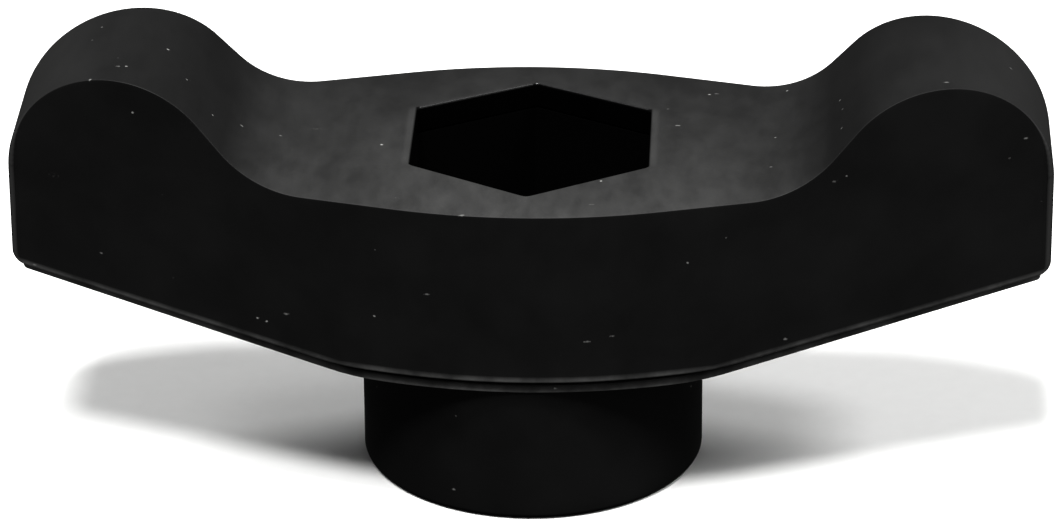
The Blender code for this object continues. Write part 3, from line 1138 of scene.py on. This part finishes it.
    def half_depth(
        self, inset: float = 0.0, tip_inset: float = 0.0, end_inset: float = 0.0
    ) -> Callable[[float], float]:
        """Gives the plan's half depth as a function of x.

        Args:
            inset: How far the plan is drawn in at the hub.
            tip_inset: The same at the tips' sides.
            end_inset: The same at the ends.

        Returns:
            A function from x to the half depth there.
        """
        end = self.half_length - end_inset
        apex = self.apex - inset / math.cos(self.taper)
        tip = self.apex - tip_inset / math.cos(self.taper) - end * math.tan(self.taper)
        slope = math.atan2(apex - tip, end)
        radius = self.hub_radius - inset
        centre = apex - radius / math.cos(slope)

        def at(x: float) -> float:
            """Works out half the depth.

            Args:
                x: A place along the grip.

            Returns:
                Half the depth there.
            """
            if abs(x) < radius * math.sin(slope):
                return centre + math.sqrt(radius**2 - x**2)
            return apex - abs(x) * math.tan(slope)

        return at

    def on_screws(self, name: str, radius: float, low: float = -PAST / 2, high: float = PAST / 2) -> Mesh:
        """Makes a cylinder on each screw's axis, from low to high above the screw's seat."""
        places = [(x, y, self.screw_seat(x) + low, self.screw_seat(x) + high) for x, y in self.screw_places]
        return uprights(name, places, radius)

    def stepped(self, name: str, low: float, high: float, inset: float) -> Mesh:
        """Makes a band along the wings' underside, from low to high, inside the plan drawn in by inset."""
        side = side_prism(name, self.band(low, high, self.half_length), self.depth)
        return combine(side, (Operation.KEEP, plan_prism(f"{name}_plan", self.plan(inset))))


# Sub-assemblies


@dataclass(frozen=True)
class GripMoulding:
    """The upper shell: crowned top, lobes and skirt, hollow and ribbed inside, with the hexagon window."""

    form: GripForm
    top_edge: float = 0.08 * MM
    low_edge: float = 0.25 * MM
    end_edge: float = 0.8 * MM
    rib: float = 2.2 * MM
    spine_ends: Span = (24.2 * MM, 58.5 * MM)
    cross_ribs: tuple[float, ...] = (29.0 * MM, 36.5 * MM, 43.5 * MM)
    lug_width: float = 12.0 * MM
    lug_top: float = 29.5 * MM
    boss_radius: float = 4.0 * MM
    window_corner: float = 1.0 * MM
    window_edge: float = 0.45 * MM
    window_arc: float = math.radians(80)
    window_steps: int = 6

    def build(self) -> Mesh:
        """Builds the moulding.

        Returns:
            Its mesh, in place.
        """
        form = self.form
        edges = (self.top_edge, self.low_edge, self.end_edge)
        outer = Slab(form.profile(crowned=True), form.outer_depth, *edges, lift=form.lift)
        pad_top = form.pad_rise - form.seat_rise + form.fit
        pilot_top = form.shank_length + 2 * form.fit
        return combine(
            outer.mesh("grip_moulding"),
            (Operation.CUT, self._hollow()),
            (Operation.CUT, self._rebate()),
            (Operation.CUT, form.on_screws("pad_clearance", form.pad_radius + form.fit, high=pad_top)),
            (Operation.CUT, form.on_screws("pilot_holes", form.shank_radius + form.fit, 0.0, pilot_top)),
            (Operation.CUT, self._window()),
        )

    def dress(self, mesh: Mesh, material: Material) -> None:
        """Puts the moulding in the scene in its finish."""
        place_piece("grip_moulding", mesh, material, "upper_shell")

    def _hollow(self) -> Mesh:
        """Makes the space inside the moulding, round its ribs and screw bosses.

        Returns:
            A solid to cut away.
        """
        form = self.form
        steps = [(Operation.KEEP, plan_prism("hollow_plan", form.plan(form.wall)))]
        steps += [(Operation.CUT, ribs) for ribs in self._ribs()]
        return combine(side_prism("hollow", form.profile(form.roof, base=0.0), form.depth), *steps)

    def _ribs(self) -> list[Mesh]:
        """Makes what stands in the hollow: spines, cheeks by the lugs, cross ribs, hold-downs and bosses.

        Returns:
            A mesh for each kind.
        """
        form = self.form
        start = form.bush_radius + 2 * form.fit
        upright = (-PAST, PAST)
        thick = (-self.rib / 2, self.rib / 2)
        near = self.lug_width / 2 + form.fit
        sides = (-1, 1)
        near_end, far_end = self.spine_ends
        spines = [((side * near_end, side * far_end), thick, upright) for side in sides]
        cheeks = [
            ((side * start, side * self.cross_ribs[0]), (front * near, front * (near + self.rib)), upright)
            for side in sides
            for front in sides
        ]
        crossing = [
            ((side * x - self.rib / 2, side * x + self.rib / 2), (-form.depth, form.depth), upright)
            for side in sides
            for x in self.cross_ribs
        ]
        hold_downs = [
            ((side * start, side * (near_end + self.rib)), thick, (self.lug_top + form.fit, PAST))
            for side in sides
        ]
        sets = {"spines": spines, "lug_cheeks": cheeks, "cross_ribs": crossing, "hold_downs": hold_downs}
        ribs = [boxes(name, spans) for name, spans in sets.items()]
        return [*ribs, form.on_screws("screw_bosses", self.boss_radius, -PAST, PAST)]

    def _rebate(self) -> Mesh:
        """The step inside the skirt's lower edge that the cover's tongue fills."""
        form = self.form
        return form.stepped("rebate", 0.0, form.lip_height + form.tongue_top + form.fit, form.rebate)

    def _window(self) -> Mesh:
        """Makes the hexagon window, with rounded corners and an upper edge that follows the crowned top.

        Returns:
            A solid to cut away.
        """
        form = self.form
        edge = self.window_edge
        steps = [
            (edge * (1 - math.cos(angle)), edge * (math.sin(angle) - 1))
            for angle in quarter(0.0, self.window_arc, self.window_steps)
        ]
        out, high = steps[-1]
        steps.append((out + math.tan(self.window_arc) * MM, high + MM))
        floor = form.top_height - form.roof - 2 * form.fit
        rings = [ring(hexagon(form.hex_flats, self.window_corner), floor)]
        for grown, rise in steps:
            outline = hexagon(form.hex_flats + 2 * grown, self.window_corner + grown)
            level = form.top_height - form.crown_drop + rise
            rings.append([Vector((u, v, level + form.lift(u, v))) for u, v in outline])
        return lofted("window", rings)


@dataclass(frozen=True)
class CoverMoulding:
    """The base cover: a stepped plate under the wings, with the collar in one with it."""

    form: GripForm
    lip_thickness: float = 1.0 * MM
    lip_inset: float = 0.45 * MM
    lip_tip_inset: float = 1.7 * MM
    lip_end_inset: float = 1.1 * MM
    lip_edge: float = 0.15 * MM
    lip_corners: Span = (0.6 * MM, 0.4 * MM)
    lip_rows: tuple[float, ...] = (0.1, 0.5, 0.9)
    tongue_overlap: float = 0.7 * MM
    collar_radius: float = 20.0 * MM
    collar_foot: float = 0.8 * MM
    collar_root: float = 0.2 * MM
    collar_rows: tuple[float, ...] = (0.85, 0.6, 0.35, 0.12)
    root_steps: int = 5
    foot_steps: int = 8
    bore_edge: float = 0.4 * MM
    well_radius: float = 3.3 * MM

    def build(self) -> Mesh:
        """Builds the cover.

        Returns:
            Its mesh, in place.
        """
        form = self.form
        lip_end = form.half_length - self.lip_end_inset
        lip_top = form.lip_height + self.lip_thickness
        side_view = form.band(form.lip_height, lip_top, lip_end, self.lip_corners)
        half_depth = form.half_depth(self.lip_inset, self.lip_tip_inset, self.lip_end_inset)
        edges = (self.lip_edge, self.lip_edge, self.lip_edge)
        plate = Slab(side_view, half_depth, *edges, rows=self.lip_rows)
        pad_low = form.lip_drop - form.seat_rise
        pad_high = form.pad_rise - form.seat_rise
        return combine(
            plate.mesh("cover_moulding"),
            (Operation.JOIN, self._tongue()),
            (Operation.JOIN, form.on_screws("screw_pads", form.pad_radius, pad_low, pad_high)),
            (Operation.CUT, form.on_screws("head_wells", self.well_radius, high=0.0)),
            (Operation.CUT, form.on_screws("shank_holes", form.shank_radius + form.fit)),
            (Operation.JOIN, self._collar(form.lip_height + self.lip_thickness / 2)),
            (Operation.CUT, self._bore()),
        )

    def dress(self, mesh: Mesh, material: Material) -> None:
        """Puts the cover in the scene in its finish."""
        place_piece("cover_moulding", mesh, material, "base_cover")

    def _tongue(self) -> Mesh:
        """Makes the raised part of the plate, which fits inside the skirt.

        Returns:
            A solid to join to the plate.
        """
        form = self.form
        low = form.lip_height + self.tongue_overlap
        high = form.lip_height + form.tongue_top
        return form.stepped("tongue", low, high, form.rebate + form.fit)

    def _collar(self, top: float) -> Mesh:
        """Turns the collar, with a small fillet under the plate and a rounded foot.

        Args:
            top: Height of its hidden top, inside the plate.

        Returns:
            The collar as a solid, without its bore.
        """
        radius, root, foot = self.collar_radius, self.collar_root, self.collar_foot
        under = self.form.lip_height
        profile = [(0.0, top), (radius + root, top)]
        profile += [
            (radius + root * (1 - math.sin(angle)), under - root * (1 - math.cos(angle)))
            for angle in quarter(0.0, math.pi / 2, self.root_steps)
        ]
        profile += [(radius, under * share) for share in self.collar_rows]
        profile += [
            (radius - foot * (1 - math.cos(angle)), foot * (1 - math.sin(angle)))
            for angle in quarter(0.0, math.pi / 2, self.foot_steps)
        ]
        return turned("collar", [*profile, (0.0, 0.0)])

    def _bore(self) -> Mesh:
        """Makes the bore that holds the bush, with an edge broken at the foot.

        Returns:
            A solid to cut away.
        """
        radius = self.form.bush_radius + self.form.fit
        edge = self.bore_edge
        profile = [(0.0, PAST), (radius, PAST), (radius, edge), (radius + 2 * edge, -edge), (0.0, -edge)]
        return turned("bore", profile)


@dataclass(frozen=True)
class DriveBush:
    """The hexagon drive bush: a turned steel sleeve with two lugs that the grip's ribs drive."""

    form: GripForm
    recess: float = 0.6 * MM
    outer_edge: float = 0.5 * MM
    lead: float = 0.9 * MM
    corner: float = 0.7 * MM
    lug_reach: float = 23.5 * MM
    lug_width: float = 12.0 * MM
    lug_span: Span = (21.2 * MM, 29.5 * MM)
    lug_edge: float = 0.6 * MM

    def build(self) -> Mesh:
        """Builds the bush."""
        return combine(self._sleeve(), (Operation.JOIN, self._lugs()), (Operation.CUT, self._socket()))

    def dress(self, mesh: Mesh, material: Material) -> None:
        """Puts the bush in the scene in its finish."""
        place_piece("drive_bush", mesh, material, "hex_bush")

    @property
    def top(self) -> float:
        """Height of the bush's upper face."""
        return self.form.top_height - self.form.roof - self.form.fit

    def _sleeve(self) -> Mesh:
        """Turns the sleeve, with both outer edges broken.

        Returns:
            The sleeve as a solid, without its socket.
        """
        radius, edge = self.form.bush_radius, self.outer_edge
        profile = [
            (0.0, self.top),
            (radius - edge, self.top),
            (radius, self.top - edge),
            (radius, self.recess + edge),
            (radius - edge, self.recess),
            (0.0, self.recess),
        ]
        return turned("drive_bush", profile)

    def _lugs(self) -> Mesh:
        """Makes the bar across the sleeve that gives both lugs, with its upright edges and rims broken.

        Returns:
            A solid to join to the sleeve.
        """
        half = self.lug_width / 2
        edge = self.lug_edge
        low, high = self.lug_span
        rings = []
        for drawn_in, z in ((edge, low), (0.0, low + edge), (0.0, high - edge), (edge, high)):
            reach, side = self.lug_reach - drawn_in, half - drawn_in
            rings.append(ring(mirrored([(reach, -side, edge), (reach, side, edge)]), z))
        return lofted("lugs", rings)

    def _socket(self) -> Mesh:
        """Makes the hexagon socket, with a lead-in at its lower end.

        Returns:
            A solid to cut away.
        """
        lead, flats = self.lead, self.form.hex_flats
        steps = ((2 * lead, self.recess - lead), (0.0, self.recess + lead), (0.0, self.top + lead))
        rings = [ring(hexagon(flats + 2 * grown, self.corner + grown), z) for grown, z in steps]
        return lofted("socket", rings)


@dataclass(frozen=True)
class CoverScrews:
    """Six pan head self-tapping screws with cross recesses, point up in the cover's wells."""

    form: GripForm
    head_radius: float = 3.0 * MM
    head_height: float = 2.0 * MM
    head_rim: float = 0.7 * MM
    head_corner: float = 0.12 * MM
    dome_start: float = 0.12
    dome_steps: int = 10
    neck_share: float = 1.2
    core_radius: float = 1.15 * MM
    thread_radius: float = 1.6 * MM
    pitch: float = 1.3 * MM
    rows_per_turn: int = 10
    crest_share: float = 0.32
    turn_degrees: float = 37.0
    plain_length: float = 0.8 * MM
    point_length: float = 2.4 * MM
    cross_reach: float = 1.75 * MM
    cross_width: float = 0.42 * MM
    cross_depth: float = 1.25 * MM
    cross_mouth: float = 1.9
    cross_floor: float = 0.45
    cross_straight: float = 0.6

    def build(self) -> Mesh:
        """Builds one screw with its seat at z = 0, for all six to share."""
        return combine(self._blank(), *[(Operation.CUT, wing) for wing in self._recess()])

    def dress(self, mesh: Mesh, material: Material) -> None:
        """Puts a copy of the screw in each of its places.

        Args:
            mesh: The shared screw.
            material: Its finish.
        """
        for number, (x, y) in enumerate(self.form.screw_places, 1):
            copy = mesh.copy()
            turn = Matrix.Rotation(math.radians(self.turn_degrees * number), 4, "Z")
            copy.transform(Matrix.Translation((x, y, self.form.screw_seat(x) - self.form.fit)) @ turn)
            place_piece(f"pan_screw_{number}", copy, material, f"cover_screw_{number}")
        bpy.data.meshes.remove(mesh)

    def _ridge(self, z: float, angle: float) -> float:
        """Radius of the threaded shank.

        Args:
            z: Height above the seat.
            angle: Angle about the axis.

        Returns:
            The radius there.
        """
        phase = (z / self.pitch - angle / math.tau) % 1.0
        crest = max(0.0, 1.0 - abs(phase - 0.5) / self.crest_share)
        started = min(max((z - self.plain_length) / self.pitch, 0.0), 1.0)
        left = min(max((self.form.shank_length - z) / self.point_length, 0.0), 1.0)
        ridge = (self.thread_radius - self.core_radius) * crest * started * left**0.5
        return self.core_radius * left + ridge

    def _blank(self) -> Mesh:
        """Makes a pan head and a threaded shank, as rings round the axis.

        Returns:
            The screw as a solid, without its recess.
        """
        dome = self.head_height - self.head_rim
        head = [
            (self.head_radius * math.sin(angle), -self.head_rim - dome * math.cos(angle))
            for angle in quarter(self.dome_start, math.pi / 2, self.dome_steps)
        ]
        head.append((self.head_radius, -self.head_corner))
        head += [(self.head_radius - self.head_corner, 0.0), (self.core_radius * self.neck_share, 0.0)]
        step = self.pitch / self.rows_per_turn
        rows = int((self.form.shank_length - step) / step)
        rings = [self._around(z, lambda _, radius=radius: radius) for radius, z in head]
        rings += [self._around(row * step, partial(self._ridge, row * step)) for row in range(1, rows + 1)]
        return lofted("pan_screw", rings)

    @staticmethod
    def _around(z: float, radius_at: Callable[[float], float]) -> list[Vector]:
        """A ring round the axis at height z, with its radius from the angle."""
        angles = [math.tau * i / SMALL_SIDES for i in range(SMALL_SIDES)]
        return [Vector((radius_at(a) * math.cos(a), radius_at(a) * math.sin(a), z)) for a in angles]

    def _recess(self) -> list[Mesh]:
        """Makes the two crossing wings of the driver recess, narrower at the bottom.

        Returns:
            Both wings, to cut away.
        """
        wings = []
        low, high = -2 * self.head_height, -self.head_height + self.cross_depth
        steps = ((self.cross_mouth, low), (1.0, -self.head_height), (self.cross_floor, high))
        for number in range(2):
            spin = Matrix.Rotation(number * math.pi / 2, 2)
            rings = []
            for share, z in steps:
                reach = self.cross_reach * share
                half = self.cross_width * (self.cross_straight + (1 - self.cross_straight) * share)
                outline = mirrored([(reach, -half, 0.0), (reach, half, 0.0)])
                rings.append(ring([spin @ corner for corner in outline], z))
            wings.append(lofted(f"recess_{number}", rings))
        return wings


# The studio


@dataclass(frozen=True)
class PhotoCamera:
    """The camera at the photograph's place, from a fit of the wrench's outlines."""

    position: tuple[float, float, float] = (25.79 * MM, -600.0 * MM, 314.0 * MM)
    pan: float = -0.0434
    tilt: float = 0.45038
    roll: float = 0.0072
    focal_pixels: float = 5702.9
    frame_width: int = 1060
    sensor_mm: float = 36.0
    clip_end: float = 100.0

    def build(self) -> None:
        """Adds the camera and makes it the scene's."""
        data = bpy.data.cameras.new("photo_camera")
        data.sensor_width = self.sensor_mm
        data.lens = self.focal_pixels / self.frame_width * self.sensor_mm
        data.clip_end = self.clip_end
        camera = bpy.data.objects.new("photo_camera", data)
        turn = Matrix.Rotation(-self.pan, 4, "Z") @ Matrix.Rotation(math.pi / 2 - self.tilt, 4, "X")
        camera.matrix_world = Matrix.Translation(self.position) @ turn @ Matrix.Rotation(-self.roll, 4, "Z")
        bpy.context.scene.collection.objects.link(camera)
        bpy.context.scene.camera = camera


@dataclass(frozen=True)
class SoftLight:
    """A far soft light. Its angles are in degrees, with the azimuth from the front round to the right.

    Sheen says whether it shows in glossy surfaces.
    """

    name: str
    azimuth: float
    elevation: float
    spread: float
    strength: float
    sheen: bool = True

    def build(self) -> None:
        """Adds the light."""
        data = bpy.data.lights.new(self.name, "SUN")
        data.angle = math.radians(self.spread)
        data.energy = self.strength
        light = bpy.data.objects.new(self.name, data)
        azimuth, elevation = math.radians(self.azimuth), math.radians(self.elevation)
        towards = Vector(
            (
                math.cos(elevation) * math.sin(azimuth),
                -math.cos(elevation) * math.cos(azimuth),
                math.sin(elevation),
            )
        )
        light.rotation_euler = towards.to_track_quat("Z", "Y").to_euler()
        light.visible_glossy = self.sheen
        bpy.context.scene.collection.objects.link(light)


@dataclass(frozen=True)
class Studio:
    """A pale sweep, soft lights round it, two from below for the paper's own glow, and a dim room."""

    lights: tuple[SoftLight, ...] = (
        SoftLight("front_light", azimuth=-15.0, elevation=64.0, spread=13.0, strength=3.2),
        SoftLight("overhead_light", azimuth=-12.0, elevation=75.0, spread=7.0, strength=2.2),
        SoftLight("back_light", azimuth=178.0, elevation=50.0, spread=26.0, strength=1.4, sheen=False),
        SoftLight("right_light", azimuth=81.0, elevation=46.0, spread=15.0, strength=1.5),
        SoftLight("left_light", azimuth=-80.0, elevation=47.0, spread=16.0, strength=0.4),
        SoftLight("low_light", azimuth=66.0, elevation=24.0, spread=40.0, strength=0.35),
        SoftLight("floor_glow", azimuth=0.0, elevation=-45.0, spread=60.0, strength=0.7, sheen=False),
        SoftLight("rear_glow", azimuth=180.0, elevation=-28.0, spread=60.0, strength=3.0, sheen=False),
    )
    sweep_radius: float = 2.0
    cove_radius: float = 0.6
    cove_start: float = 0.1
    cove_steps: int = 12
    cove_rise: float = 3.0
    sweep_sides: int = 96
    sky: tuple[Span, ...] = ((0.0, 0.0), (0.5, 0.05), (0.6, 0.08), (0.72, 0.12), (0.82, 0.18), (1.0, 0.25))

    def build(self) -> None:
        """Adds the sweep, the lights and the room."""
        bpy.context.scene.view_settings.view_transform = "Standard"
        self._sweep()
        for light in self.lights:
            light.build()
        self._room()

    def _sweep(self) -> None:
        """Lays the paper sweep, which casts no shadow and which the wrench neither mirrors nor is lit by."""
        flat, cove = self.sweep_radius, self.cove_radius
        profile = [(0.0, 0.0), (flat, 0.0)]
        profile += [
            (flat + cove * math.sin(angle), cove * (1 - math.cos(angle)))
            for angle in quarter(self.cove_start, math.pi / 2, self.cove_steps)
        ]
        profile.append((flat + cove, self.cove_rise * cove))
        mesh = turned("paper_sweep", profile, self.sweep_sides)
        mesh.flip_normals()
        mesh.shade_smooth()
        mesh.materials.append(MattPaper().material())
        sweep = bpy.data.objects.new("paper_sweep", mesh)
        sweep.visible_diffuse = False
        sweep.visible_glossy = False
        sweep.visible_shadow = False
        bpy.context.scene.collection.objects.link(sweep)

    def _room(self) -> None:
        """Lights the room by the sky's steps: a height, from 0 (down) to 1 (up), and a brightness."""
        world = bpy.data.worlds.new("studio_room")
        world.use_nodes = True
        tree = world.node_tree
        direction = add_node(tree, "ShaderNodeTexCoord").outputs["Generated"]
        height = add_node(tree, "ShaderNodeSeparateXYZ", {"Vector": direction}).outputs["Z"]
        ramp = add_node(tree, "ShaderNodeValToRGB", {"Fac": remap(tree, height, (-1.0, 1.0), RISING)})
        stops = ramp.color_ramp.elements
        while len(stops) < len(self.sky):
            stops.new(0.5)
        for stop, (place, brightness) in zip(stops, self.sky):
            stop.position = place
            stop.color = (brightness, brightness, brightness, 1.0)
        background = tree.nodes["Background"]
        tree.links.new(ramp.outputs["Color"], background.inputs["Color"])
        bpy.context.scene.world = world


def main() -> None:
    """Builds the wrench, dresses it and sets the studio round it."""
    logging.basicConfig(level=logging.INFO, format="%(name)s: %(message)s")
    PhotoCamera().build()
    form = GripForm()
    nylon = MouldedNylon().material(form)
    assemblies = (
        (GripMoulding(form), nylon),
        (CoverMoulding(form), nylon),
        (DriveBush(form), PhosphatedSteel().material()),
        (CoverScrews(form), BlackZinc().material()),
    )
    for assembly, material in assemblies:
        assembly.dress(assembly.build(), material)
    Studio().build()


if __name__ == "__main__":
    main()
